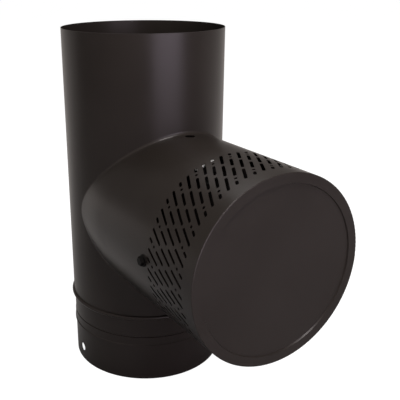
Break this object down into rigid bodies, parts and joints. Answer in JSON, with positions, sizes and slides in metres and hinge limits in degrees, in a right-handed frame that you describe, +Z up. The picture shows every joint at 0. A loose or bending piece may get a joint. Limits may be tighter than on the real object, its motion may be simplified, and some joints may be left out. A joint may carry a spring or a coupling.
{
  "type": "stove pipe tee",
  "caption": "Double-wall stove pipe tee: upright beaded casing with a male lower end, and a side branch with a slanted slot band, closed by a flat clean-out cap.",
  "frame": {"origin": "middle of the lower end of the spigot collar, on the flue's axis, on the surface that the tee stands on", "axes": "+Z up the flue, -Y along the branch towards its cap, +X to the right when the cap is faced"},
  "size_m": [0.1872, 0.3329, 0.3806],
  "materials": {
    "painted_casing": "satin-matt heat-resistant black paint on sheet steel",
    "liner_steel": "bare rolled stainless sheet",
    "blackened_steel": "sheet steel, blackened by paint sprayed through the slots",
    "screw_black": "black-coated steel"
  },
  "bodies": {
    "root": {"casing_tube": "painted_casing", "spigot_collar": "painted_casing", "branch_sleeve": "painted_casing", "end_cap": "painted_casing", "cap_plug": "liner_steel", "liner_tube": "liner_steel", "branch_liner": "blackened_steel", "branch_end_ring": "liner_steel", "upper_spacer_1": "liner_steel", "lower_spacer_1": "liner_steel", "upper_spacer_2": "liner_steel", "lower_spacer_2": "liner_steel", "upper_spacer_3": "liner_steel", "lower_spacer_3": "liner_steel", "branch_spacer_1": "liner_steel", "branch_spacer_2": "liner_steel", "branch_spacer_3": "liner_steel", "branch_spacer_4": "liner_steel", "branch_screw_1": "screw_black", "branch_screw_2": "screw_black"}
  },
  "joints": []
}
